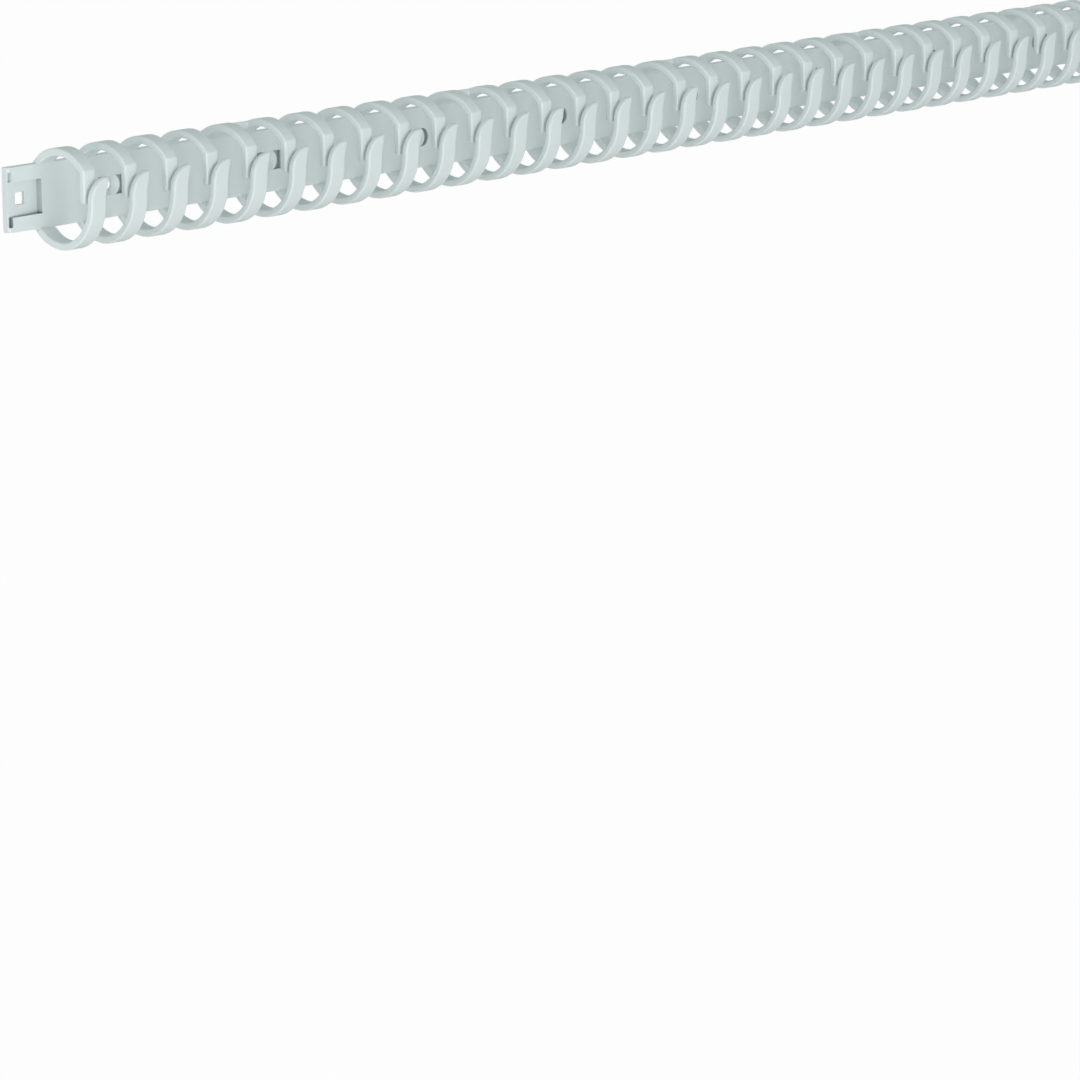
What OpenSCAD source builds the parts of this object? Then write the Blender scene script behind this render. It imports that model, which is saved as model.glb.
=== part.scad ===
// Flexible slotted wiring duct: one flat back strip with a row of rings made of two fingers each.
// X runs along the strip, the wall face of the strip is the plane y = 0, and z = 0 is its middle.
// The open side of the fingers faces towards -Y.

/* [Strip] */
// Overall length of the strip
duct_len = 500; // [200:1:1000]
// Height of the strip between the finger roots
plate_h = 18.6; // [12:0.1:40]
// Thickness of the strip
plate_t = 2.4; // [1.2:0.1:4]

/* [Fingers] */
// Outer diameter of a ring of fingers
ring_d = 29; // [20:0.5:60]
// Distance from one ring to the next
pitch = 15.25; // [10:0.05:30]
// Thickness of a finger
finger_t = 2.2; // [1:0.1:4]
// Width of a finger along the strip
finger_w = 5.5; // [3:0.1:10]
// Width of the upper finger where it turns down
upper_tip_w = 4.5; // [2:0.1:10]
// Clearance between the two overlapping fingers
finger_gap = 1.0; // [0.4:0.1:3]
// How far the upper finger reaches below the ring's middle
upper_drop = 0.3; // [0:0.1:6]
// How far the lower finger reaches above the ring's middle
lower_rise = 7.3; // [3:0.1:12]
// How far the lower finger's tip leans over the gap beside it
tip_lean = 1.4; // [0:0.1:3]

/* [Fixing seats] */
// Rings between one fixing seat and the next
seat_every = 4; // [2:1:12]
// Depth of the recess around a fixing hole
seat_depth = 1.4; // [0.6:0.1:2]
// Height of the recess
seat_h = 5.6; // [4:0.1:12]
// Diameter of the round seat inside the recess
seat_d = 6.8; // [5:0.1:12]
// Diameter of the fixing hole
hole_d = 3; // [2:0.1:5]
// How far a recess lies to the right of the middle between two rings
seat_shift = 1.2; // [0:0.1:2]

/* [End pocket] */
// Length of the strip before the first ring
end_len = 11.1; // [8:0.1:30]
// Height of the pocket for the next strip's tongue
pocket_h = 10; // [5:0.1:16]
// Length of the pocket, counted from the end of the strip
pocket_len = 12.4; // [6:0.1:20]
// Depth of the pocket at its inner wall
pocket_depth = 2; // [0.8:0.1:2.2]
// Side of the square latch hole
latch_side = 3.6; // [2:0.1:6]

/* [Hidden] */
$fn = 96;

eps = 0.02;
// How far a cutting shape runs past the face it opens
over = 1;
ring_r = ring_d / 2;
inner_r = ring_r - finger_t;
half_h = plate_h / 2;
// The strip's back is the chord of the outer circle, so ring_y is the depth of the ring's middle.
ring_y = -sqrt(ring_r * ring_r - half_h * half_h);
front_y = -plate_t;
// Outer face of the straight part of the upper finger, seen from the ring's middle
flat_out = inner_r - finger_gap;
flat_in = flat_out - finger_t;
gap_w = pitch - finger_w;
// Height at which the lower finger's right side starts to lean out
lean_z = lower_rise / 5;
first_x = -duct_len / 2 + end_len;
// As many rings as the strip has room for
ring_count = floor((duct_len - end_len - finger_w) / pitch) + 1;
// The first seat lies between the second ring and the third
seat_first = 1;
square_seats = 2;
seat_margin = 0.05;
seat_round = 0.3;
seat_top_gap = 0.25;
seat_rim = 0.4;
sink_d = seat_d - 2 * seat_rim;
// The thin web that joins two upper roots, on every sixth ring from the fifth
web_first = 4;
web_every = 6;
web_in = 6.1;
lip_w = 0.6;
lip_drop = 0.6;
slit_w = 1.1;
slit_reach = 2.8;
slit_depth = 1.6;
latch_x = 3.4;

function ring_x(n) = first_x + n * pitch;

// Turns a drawing of the ring's section, with y to the wall and z up, into a slab along X
module along_x(w) {
    translate([0, ring_y, 0])
        rotate([90, 0, 90])
            linear_extrude(height = w)
                children();
}

// The ring's band, in section
module band() {
    difference() {
        circle(r = ring_r);
        circle(r = inner_r);
    }
}

// The upper finger, in section: over the top from the strip, then straight down in front
module upper_section() {
    intersection() {
        band();
        union() {
            translate([-flat_in, half_h])
                square([flat_in + ring_r, ring_r]);
            translate([-flat_in, 0])
                square([flat_in, ring_r]);
        }
    }
    intersection() {
        circle(r = ring_r);
        translate([-flat_out, -upper_drop])
            square([finger_t, ring_r + upper_drop]);
    }
}

// The lower finger, in section: under the bottom from the strip, then up in front of the upper one
module lower_section() {
    intersection() {
        band();
        union() {
            translate([-ring_r, -ring_r])
                square([2 * ring_r, ring_r - half_h]);
            translate([-ring_r, -ring_r])
                square([ring_r, ring_r]);
        }
    }
    translate([-ring_r, -eps])
        square([finger_t, lower_rise + eps]);
}

// Seen from above, the upper finger narrows on one side towards its front
module upper_finger() {
    intersection() {
        along_x(finger_w) upper_section();
        translate([0, ring_y, -ring_r])
            linear_extrude(height = 2 * ring_r)
                polygon([[0, ring_r], [finger_w, ring_r], [finger_w, 0],
                         [upper_tip_w, -flat_in], [upper_tip_w, -ring_r], [0, -ring_r]]);
    }
}

// Seen from the front, the lower finger ends in a quarter round whose tip leans to the right
module lower_finger() {
    tip_x = finger_w + tip_lean;
    round_z = lower_rise - tip_x;
    lean_slope = tip_lean / (lower_rise - lean_z);
    intersection() {
        along_x(tip_x + over) lower_section();
        rotate([90, 0, 0])
            linear_extrude(height = 4 * ring_r)
                union() {
                    translate([0, -ring_r - over])
                        square([finger_w, ring_r + over + round_z]);
                    intersection() {
                        translate([tip_x, round_z])
                            circle(r = tip_x);
                        polygon([[0, round_z - eps], [finger_w, round_z - eps], [finger_w, lean_z],
                                 [tip_x + over * lean_slope, lower_rise + over], [0, lower_rise + over]]);
                    }
                }
    }
}

// A low wall on the strip's top edge that follows the band from one ring to the next
module root_web() {
    translate([finger_w - eps, 0, 0])
        along_x(gap_w + 2 * eps)
            intersection() {
                band();
                translate([-ring_y - web_in, half_h])
                    square([web_in, ring_r]);
            }
}

// Outline of a recess: square corners or fully rounded ends
module seat_outline(round_ends) {
    w = gap_w - 2 * seat_margin;
    if (round_ends) {
        square([w - seat_h, seat_h], center = true);
        for (s = [-1, 1])
            translate([s * (w - seat_h) / 2, 0])
                circle(d = seat_h);
    } else {
        square([w, seat_h - 2 * seat_round], center = true);
        square([w - 2 * seat_round, seat_h], center = true);
        for (s = [-1, 1], t = [-1, 1])
            translate([s * (w / 2 - seat_round), t * (seat_h / 2 - seat_round)])
                circle(r = seat_round);
    }
}

// What a fixing seat takes out of the strip: the recess around a round seat, and its screw hole
module seat_cut(round_ends) {
    translate([0, front_y, 0])
        rotate([-90, 0, 0]) {
            difference() {
                translate([0, 0, -over])
                    linear_extrude(height = seat_depth + over)
                        seat_outline(round_ends);
                translate([0, 0, seat_top_gap])
                    cylinder(d = seat_d, h = seat_depth + over);
            }
            translate([0, 0, seat_top_gap - eps])
                cylinder(d1 = sink_d, d2 = hole_d, h = (sink_d - hole_d) / 2);
            translate([0, 0, -over])
                cylinder(d = hole_d, h = plate_t + 2 * over);
        }
}

// The pocket at the left end: a floor that slopes down to its inner wall, two slits, a latch hole
module end_pocket() {
    translate([-duct_len / 2, front_y, 0]) {
        translate([0, 0, -pocket_h / 2])
            linear_extrude(height = pocket_h)
                polygon([[-over, -over], [pocket_len, -over], [pocket_len, pocket_depth],
                         [lip_w, lip_drop], [-over, lip_drop]]);
        translate([-over, -over, -half_h - over])
            cube([over + lip_w, over + lip_drop, plate_h + 2 * over]);
        translate([lip_w - eps, -over, -pocket_h / 2 - slit_reach])
            cube([slit_w + eps, over + slit_depth, slit_reach + eps]);
        translate([lip_w - eps, -over, pocket_h / 2 - eps])
            cube([slit_w + eps, over + slit_depth, slit_reach + eps]);
        translate([latch_x, -over, -latch_side / 2])
            cube([latch_side, plate_t + 2 * over, latch_side]);
    }
}

module duct() {
    color([0.78, 0.80, 0.80])
        difference() {
            union() {
                translate([-duct_len / 2, front_y, -half_h])
                    cube([duct_len, plate_t, plate_h]);
                for (n = [0 : ring_count - 1])
                    translate([ring_x(n), 0, 0]) {
                        upper_finger();
                        lower_finger();
                    }
                for (n = [web_first : web_every : ring_count - 2])
                    translate([ring_x(n), 0, 0])
                        root_web();
            }
            for (n = [seat_first : seat_every : ring_count - 2])
                translate([ring_x(n) + finger_w + gap_w / 2 + seat_shift, 0, 0])
                    seat_cut(n >= seat_first + square_seats * seat_every);
            end_pocket();
        }
}

duct();
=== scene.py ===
# %% [markdown]
# # A flexible slotted wiring duct
#
# The duct is one plastic moulding: a flat strip that is fixed to a panel, and a row of rings that
# hold the wires. Each ring is a pair of fingers that overlap in front, so a wire is pushed in
# between them and can leave at any gap. The solid comes from the CAD model with its true sizes.
# What is left to do here is what a moulding gets from its tool and its material: soft edges, a
# smooth satin skin, and light that shows both.

# %% Load the solid
import math

import bpy
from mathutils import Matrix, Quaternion, Vector

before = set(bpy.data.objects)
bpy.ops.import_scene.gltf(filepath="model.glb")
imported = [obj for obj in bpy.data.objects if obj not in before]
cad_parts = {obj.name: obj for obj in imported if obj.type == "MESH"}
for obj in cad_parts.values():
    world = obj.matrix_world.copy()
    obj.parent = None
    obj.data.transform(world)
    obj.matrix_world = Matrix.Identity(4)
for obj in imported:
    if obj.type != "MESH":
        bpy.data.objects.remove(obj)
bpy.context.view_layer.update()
scene = bpy.context.scene


# %% [markdown]
# ## Shader maths as plain sums
#
# A procedural finish is a formula over the surface, so it is easiest to read as one. This small
# class wraps a node's socket and adds the Math node when two values are added or multiplied.
# Colours are mixed by a Mix node, because a Math node would turn them grey.

# %% A socket that can be added and multiplied
class Value:
    """A number that comes out of a node, for use in plain sums."""

    def __init__(self, tree, socket):
        self.tree, self.socket = tree, socket

    def sum_with(self, operation, first, second):
        return self.tree.node("ShaderNodeMath", {"operation": operation}, {0: first, 1: second})

    def __add__(self, other):
        return self.sum_with("ADD", self, other)

    __radd__ = __add__

    def __sub__(self, other):
        return self.sum_with("SUBTRACT", self, other)

    def __rsub__(self, other):
        return self.sum_with("SUBTRACT", other, self)

    def __mul__(self, other):
        return self.sum_with("MULTIPLY", self, other)

    __rmul__ = __mul__


class Tree:
    """A node tree that is filled by plain calls."""

    def __init__(self, tree):
        self.tree = tree

    def put(self, socket, value):
        if isinstance(value, Value):
            self.tree.links.new(value.socket, socket)
        else:
            socket.default_value = value

    def node(self, kind, settings=None, values=None, out=0):
        made = self.tree.nodes.new(kind)
        for name, setting in (settings or {}).items():
            setattr(made, name, setting)
        for name, value in (values or {}).items():
            self.put(made.inputs[name], value)
        return Value(self, made.outputs[out]) if made.outputs else None

    def mix(self, factor, first, second):
        return self.node("ShaderNodeMix", {"data_type": "RGBA"}, {0: factor, 6: first, 7: second}, 2)

    def part(self, vector, axis):
        """One of a vector's three numbers: 0 for x, 1 for y, 2 for z."""
        return self.node("ShaderNodeSeparateXYZ", {}, {0: vector}, axis)

    def size_of(self, value):
        return self.node("ShaderNodeMath", {"operation": "ABSOLUTE"}, {0: value})

    def above(self, value, limit):
        """1 where the value is above the limit, else 0."""
        return self.node("ShaderNodeMath", {"operation": "GREATER_THAN"}, {0: value, 1: limit})

    def ramp(self, value, low, high, first, last):
        """first where the value is at or below low, last from high on, and even between."""
        numbers = {"Value": value, 1: low, 2: high, 3: first, 4: last}
        return self.node("ShaderNodeMapRange", {}, numbers)


class Finish(Tree):
    """A new material with an empty node tree."""

    def __init__(self, name):
        self.material = bpy.data.materials.new(name)
        self.material.use_nodes = True
        super().__init__(self.material.node_tree)
        self.tree.nodes.clear()
        self.output = self.tree.nodes.new("ShaderNodeOutputMaterial")

    def surface(self, shader):
        self.put(self.output.inputs["Surface"], shader)


print("helpers ready")

# %% [markdown]
# ## The plastic
#
# Ducts of this kind are moulded from a tough light grey plastic, coloured through. Its skin copies
# the polished tool, so it is smooth but not glossy: the highlights are broad, and broken by a very
# fine unevenness. A large, faint change in tone stands for the way the melt flows and cools. All
# of it reads Object coordinates, in metres, so the grain keeps its real size.
#
# The photograph shows the recesses and the pocket darker than soft light alone would make them.
# So a mask finds the places below the strip's face, and the colour goes towards a deeper grey there:
# this is painted shade, put into the colour of the recesses and the pocket, and the same mask makes
# the skin rougher there. The round screw seats in the recesses are left light, as they are in the
# photograph.

# %% Where the hollows are
STRIP_FRONT = -0.0024
POCKET_WALL = -0.2376
POCKET_SIDE = -0.0050
FIRST_SEAT = -0.212075
SEAT_PITCH = 0.061
SEAT_RADIUS = 0.0034
# The hollows lie behind the strip's rounded front edge, off its wall face, its rims and its ends
HOLLOW_FRONT = STRIP_FRONT + 0.0001
HOLLOW_BACK = -0.0003
STRIP_INSIDE = 0.0082
LENGTH_INSIDE = 0.2493
WALL_SLACK = 0.0002
# The depth, or the distance to a wall, over which the painted shade comes in
RECESS_FADE = 0.0008
WALL_FADE = 0.0006
SIDE_FADE = 0.0005
# How much of the painted shade each place gets
RECESS_SHARE = 0.50
WALL_SHARE = 0.42
SIDE_SHARE = 0.62


def hollows(f, place):
    """How much painted shade a point gets: 0 on the outside, up to 1 in a hollow's corner."""
    x, y, z = (f.part(place, axis) for axis in range(3))
    inner = f.above(y, HOLLOW_FRONT) * (1 - f.above(y, HOLLOW_BACK))
    inner = inner * (1 - f.above(f.size_of(z), STRIP_INSIDE))
    inner = inner * (1 - f.above(f.size_of(x), LENGTH_INSIDE))
    in_pocket = 1 - f.above(x, POCKET_WALL + WALL_SLACK)
    half = SEAT_PITCH / 2
    across = f.node("ShaderNodeMath", {"operation": "WRAP"}, {0: x - FIRST_SEAT, 1: half, 2: -half})
    off_seat = f.above(across * across + z * z, SEAT_RADIUS**2)
    recess = f.ramp(y, HOLLOW_FRONT, HOLLOW_FRONT + RECESS_FADE, 0.0, RECESS_SHARE)
    recess = recess * (1 - in_pocket) * off_seat
    wall = f.ramp(x, POCKET_WALL - WALL_FADE, POCKET_WALL, 0.0, WALL_SHARE) * in_pocket
    side = f.ramp(z, POCKET_SIDE + SIDE_FADE, POCKET_SIDE, 0.0, SIDE_SHARE) * in_pocket
    return inner * (recess + wall + side)


print("hollows start", round(-STRIP_FRONT * 1000, 1), "mm in front of the wall face")


# %% Light grey duct plastic
def grey(red, green, blue):
    """A colour given as seen on a screen, in the linear values that shaders use."""
    return tuple(
        (c / 12.92 if c <= 0.04045 else ((c + 0.055) / 1.055) ** 2.4) for c in (red, green, blue)
    ) + (1.0,)


SHADED_SKIN = grey(0.848, 0.878, 0.876)
CLEAR_SKIN = grey(0.882, 0.906, 0.904)
# Painted shade: the deep grey that the colour of the recesses and the pocket goes towards
HOLLOW_PAINTED_SHADE = grey(0.31, 0.36, 0.37)
BUMP_HEIGHT = 0.00006


def duct_plastic():
    f = Finish("duct_plastic")
    place = f.node("ShaderNodeTexCoord", out="Object")

    def noise(scale, detail):
        return f.node("ShaderNodeTexNoise", {}, {"Vector": place, "Scale": scale, "Detail": detail})

    flow = noise(38.0, 3.0)
    cloud = noise(9.0, 1.0)
    grain = noise(2600.0, 2.0)
    ripple = noise(160.0, 1.0)
    tone = flow * 0.6 + cloud * 0.4
    outside = f.mix(tone, SHADED_SKIN, CLEAR_SKIN)
    hollow = hollows(f, place)
    # Painted shade: in the recesses and the pocket the colour goes towards a deep grey, and the same
    # mask also adds roughness below
    colour = f.mix(hollow, outside, HOLLOW_PAINTED_SHADE)
    rough = 0.40 + flow * 0.07 + grain * 0.06 + hollow * 0.15
    height = grain * 0.35 + ripple * 0.65
    bump = f.node(
        "ShaderNodeBump", {}, {"Height": height, "Strength": 0.12, "Distance": BUMP_HEIGHT}
    )
    skin = f.node(
        "ShaderNodeBsdfPrincipled",
        {},
        {
            "Base Color": colour,
            "Roughness": rough,
            "Normal": bump,
            "IOR": 1.50,
            "Specular IOR Level": 0.45,
        },
    )
    f.surface(skin)
    return f.material


plastic = duct_plastic()
print("plastic has", len(plastic.node_tree.nodes), "nodes")

# %% [markdown]
# ## Soft edges on the moulding
#
# No edge of a moulding is sharp. The fingers are rounded most, so that they don't cut a wire's
# cover, and the strip's recesses and pocket least, because other parts must fit there. These
# rounded edges catch the thin bright lines that outline each finger. The solid arrives as loose
# triangles, so a Weld modifier joins their corners, and a planar Decimate makes flat faces whole
# again. A small node group then writes on each sharp edge how much of the rounding it gets: all
# of it in front at the lower fingers' tips, most of it on the rest of the fingers, less near the
# strip, where narrow steps leave no room for more, and none inside the strip's outline, where the
# recesses have walls of a quarter millimetre. A Bevel modifier rounds each edge by that share, and
# a second group marks what stays sharp, so that it is shaded as an edge. Last, a Weighted Normal
# modifier keeps the large faces shaded flat between their rounded edges.
#
# Modifiers leave the solid's own mesh as the CAD model gave it, which is why they are used here
# and edit mode isn't.

# %% Weld and flatten
# Lengths in metres, and how much of the rounding an edge gets
EDGE_ROUND = 0.0007
FINGER_SHARE = 0.85
STRIP_SHARE = 0.30
TIP_FRONT = -0.0250
TIP_ZONE = (0.0010, 0.0040)
STRIP_ZONE = (-0.0065, -0.0040)
STRIP_FACE = -0.0028
SHARP = math.radians(38)
CRISP = math.radians(34)
WELD_REACH = 0.000004
FLAT_WITHIN = math.radians(0.6)

duct = bpy.data.objects["duct"]
bpy.ops.object.select_all(action="DESELECT")
duct.select_set(True)
bpy.context.view_layer.objects.active = duct
weld = duct.modifiers.new("join_corners", "WELD")
weld.merge_threshold = WELD_REACH
flat = duct.modifiers.new("whole_faces", "DECIMATE")
flat.decimate_type = "DISSOLVE"
flat.angle_limit = FLAT_WITHIN
print("duct:", len(duct.data.polygons), "faces as loaded")


# %% Node groups that read how sharp an edge is
def edge_group(name, build):
    """Give the duct a node modifier; build adds the nodes between its mesh in and mesh out."""
    group = bpy.data.node_groups.new(name, "GeometryNodeTree")
    for side in ("INPUT", "OUTPUT"):
        group.interface.new_socket("Geometry", in_out=side, socket_type="NodeSocketGeometry")
    t = Tree(group)
    t.node("NodeGroupOutput", {}, {0: build(t, t.node("NodeGroupInput"))})
    modifier = duct.modifiers.new(name, "NODES")
    modifier.node_group = group


def sharper_than(t, angle):
    return t.above(t.node("GeometryNodeInputMeshEdgeAngle"), angle)


def write_shares(t, mesh):
    place = t.node("GeometryNodeInputPosition")
    depth, height = t.part(place, 1), t.part(place, 2)
    share = t.ramp(depth, *STRIP_ZONE, FINGER_SHARE, STRIP_SHARE)
    at_tip = t.ramp(height, *TIP_ZONE, 0.0, 1 - FINGER_SHARE) * (1 - t.above(depth, TIP_FRONT))
    inside = t.above(depth, STRIP_FACE) * (1 - t.above(t.size_of(height), STRIP_INSIDE))
    share = sharper_than(t, SHARP) * (share + at_tip) * (1 - inside)
    return t.node(
        "GeometryNodeStoreNamedAttribute",
        {"data_type": "FLOAT", "domain": "EDGE"},
        {"Geometry": mesh, "Name": "bevel_weight_edge", "Value": share},
    )


def mark_crisp(t, mesh):
    return t.node(
        "GeometryNodeSetShadeSmooth",
        {"domain": "EDGE"},
        {"Geometry": mesh, "Selection": sharper_than(t, CRISP), "Shade Smooth": False},
    )


edge_group("edge_shares", write_shares)
print("edges sharper than", round(math.degrees(SHARP)), "degrees are rounded")

# %% Round the edges and shade them
rounding = duct.modifiers.new("soft_edges", "BEVEL")
rounding.width = EDGE_ROUND
rounding.segments = 3
rounding.limit_method = "WEIGHT"
rounding.use_clamp_overlap = False
bpy.ops.object.shade_smooth()
edge_group("crisp_edges", mark_crisp)
level = duct.modifiers.new("flat_faces_stay_flat", "WEIGHTED_NORMAL")
level.weight = 80
level.keep_sharp = True

for slot in duct.material_slots:
    slot.material = plastic
bpy.context.view_layer.update()
shown = duct.evaluated_get(bpy.context.evaluated_depsgraph_get())
print("duct:", len(shown.data.polygons), "faces when rounded")

# %% [markdown]
# ## Floor and background
#
# The picture is a catalogue view on plain white. A wide pale floor well below the duct catches a
# faint shadow. To the camera the floor and the world are close to white; to the duct they are
# only as bright as pale paper, so the white doesn't wash out the plastic. The world is a little
# dimmer above than below, as the tops of the rings are the darkest of the outer faces.

# %% Pale floor, white background
FLOOR_Z = -0.9
FLOOR_SIDE = 60
bpy.ops.object.select_all(action="DESELECT")
bpy.ops.mesh.primitive_plane_add(size=FLOOR_SIDE, location=(0, 0, FLOOR_Z))
floor = bpy.context.object
floor.name = "floor"


def floor_paper():
    f = Finish("floor_paper")
    paper = f.node("ShaderNodeBsdfDiffuse", {}, {"Color": (0.82, 0.82, 0.82, 1)})
    white = f.node("ShaderNodeEmission", {}, {"Color": (1, 1, 1, 1), "Strength": 1.0})
    seen = f.node("ShaderNodeLightPath", out="Is Camera Ray")
    made = f.node("ShaderNodeMixShader", {}, {0: seen * 0.97, 1: paper, 2: white})
    f.surface(made)
    return f.material


floor.data.materials.append(floor_paper())

world = bpy.data.worlds.new("studio")
scene.world = world
world.use_nodes = True
world.node_tree.nodes.clear()
sky = Tree(world.node_tree)
up = sky.part(sky.node("ShaderNodeTexCoord", out="Generated"), 2)
around = sky.node(
    "ShaderNodeBackground", {}, {"Color": (0.91, 1.0, 0.99, 1), "Strength": 0.66 - up * 0.17}
)
behind = sky.node("ShaderNodeBackground", {}, {"Color": (1, 1, 1, 1), "Strength": 0.99})
seen_rays = sky.node("ShaderNodeLightPath", out="Is Camera Ray") + sky.node(
    "ShaderNodeLightPath", out="Is Transmission Ray"
)
choice = sky.node("ShaderNodeMixShader", {}, {0: seen_rays, 1: around, 2: behind})
sky.node("ShaderNodeOutputWorld", {}, {"Surface": choice})
print("floor at", FLOOR_Z, "m")

# %% [markdown]
# ## Light
#
# The light is even and soft, as for a catalogue picture. The faces that look to the front and to
# the left end are about equally bright, the undersides are nearly as bright, and only the tops
# and the hollows are darker. So most of it comes from all round, and three weak panels add to it:
# one before the fingers, one to the left, and one below the camera. Their strengths were found by
# rendering each light alone and fitting the sum to the tones of two dozen faces.

# %% Soft panels
def soft_panel(name, place, aim, size, watts):
    lamp = bpy.data.lights.new(name, "AREA")
    lamp.shape, lamp.size, lamp.energy = "SQUARE", size, watts
    holder = bpy.data.objects.new(name, lamp)
    scene.collection.objects.link(holder)
    holder.location = place
    holder.rotation_mode = "QUATERNION"
    holder.rotation_quaternion = (Vector(aim) - Vector(place)).to_track_quat("-Z", "Y")
    holder.visible_camera = False


middle = (0, -0.012, 0)
soft_panel("left_panel", (-2.2, -0.35, 0.2), middle, 1.0, 10.0)
soft_panel("front_panel", (-0.4, -2.1, 0.2), middle, 1.0, 9.0)
soft_panel("low_panel", (-1.0, -1.2, -0.75), middle, 1.2, 9.3)
print("three panels")

# %% [markdown]
# ## Camera
#
# The view is a long lens from the front left, a little above the duct, so the rings shrink slowly
# to the right and the near end shows its thickness. Its place comes from a fit of the rings' tops
# and bottoms, the bends of the fingers and the strip's corners. The lens is worked out for a square
# frame 1080 pixels wide, out of which the duct runs at the top right.

# %% Set the camera
FRAME_SIDE = 1080
FOCAL_PX = 4584
lens = bpy.data.cameras.new("camera")
lens.sensor_width = 36
lens.lens = FOCAL_PX * lens.sensor_width / FRAME_SIDE
lens.clip_start, lens.clip_end = 0.05, 100
camera = bpy.data.objects.new("camera", lens)
scene.collection.objects.link(camera)
camera.location = (-1.05491, -0.99885, 0.20510)
looking = Vector((0.69471, 0.68069, -0.23244))
roll = Quaternion((0, 0, 1), math.radians(-0.465))
camera.rotation_mode = "QUATERNION"
camera.rotation_quaternion = looking.to_track_quat("-Z", "Y") @ roll
scene.camera = camera
scene.view_settings.view_transform = "Standard"
print("lens", round(lens.lens, 1), "mm")
